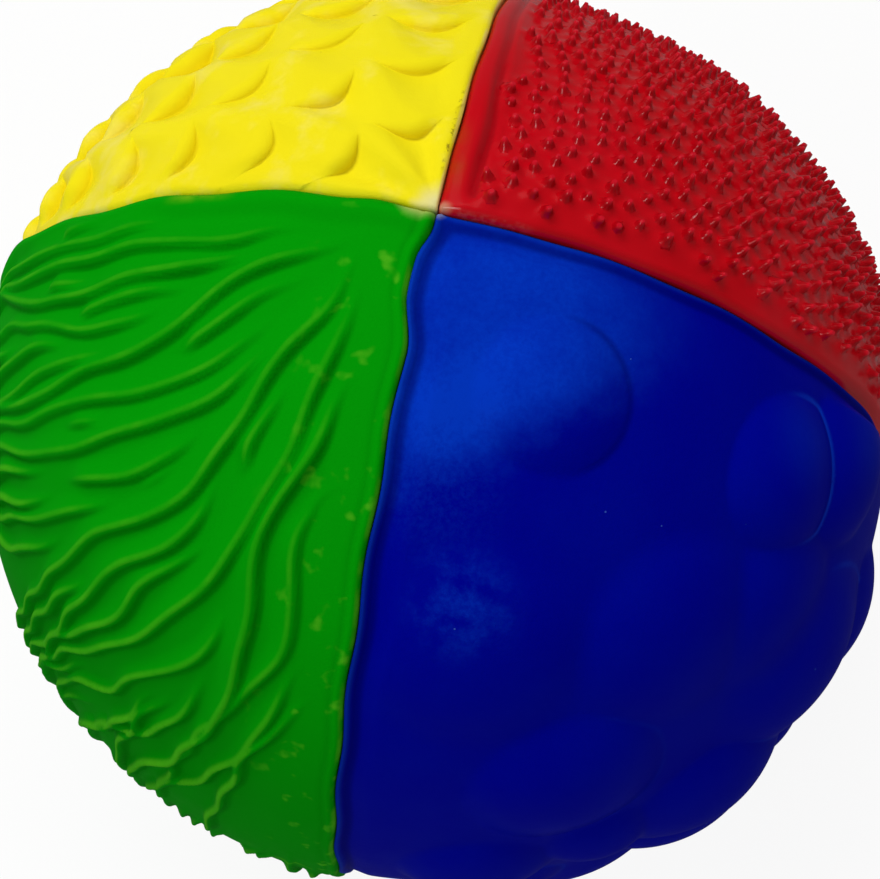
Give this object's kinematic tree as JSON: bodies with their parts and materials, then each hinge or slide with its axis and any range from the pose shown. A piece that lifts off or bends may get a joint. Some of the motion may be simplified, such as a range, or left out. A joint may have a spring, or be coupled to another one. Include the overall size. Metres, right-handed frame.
{
  "type": "sensory ball",
  "caption": "Hollow soft rubber ball in coloured quarter panels, each with its own relief to feel: scales, spikes, veins or bubbles.",
  "frame": {"origin": "centre of the ball", "axes": "+Z through the upper pole where the panels meet; the seam between red and blue runs towards +X, between yellow and red towards +Y"},
  "size_m": [0.1022, 0.1015, 0.1015],
  "materials": {
    "yellow_rubber": "satin paint on natural rubber, thin in places",
    "red_rubber": "glossy paint on natural rubber",
    "green_rubber": "satin paint on natural rubber, scuffed on the veins",
    "blue_rubber": "matt paint on natural rubber with a powdery bloom",
    "carcass_rubber": "bare natural rubber",
    "plug_rubber": "bare dark rubber"
  },
  "bodies": {
    "root": {"yellow_scale_panel": "yellow_rubber", "red_spike_panel": "red_rubber", "green_vein_panel": "green_rubber", "blue_bubble_panel": "blue_rubber", "carcass_upper_half": "carcass_rubber", "carcass_lower_half": "carcass_rubber", "vent_plug": "plug_rubber"}
  },
  "joints": []
}
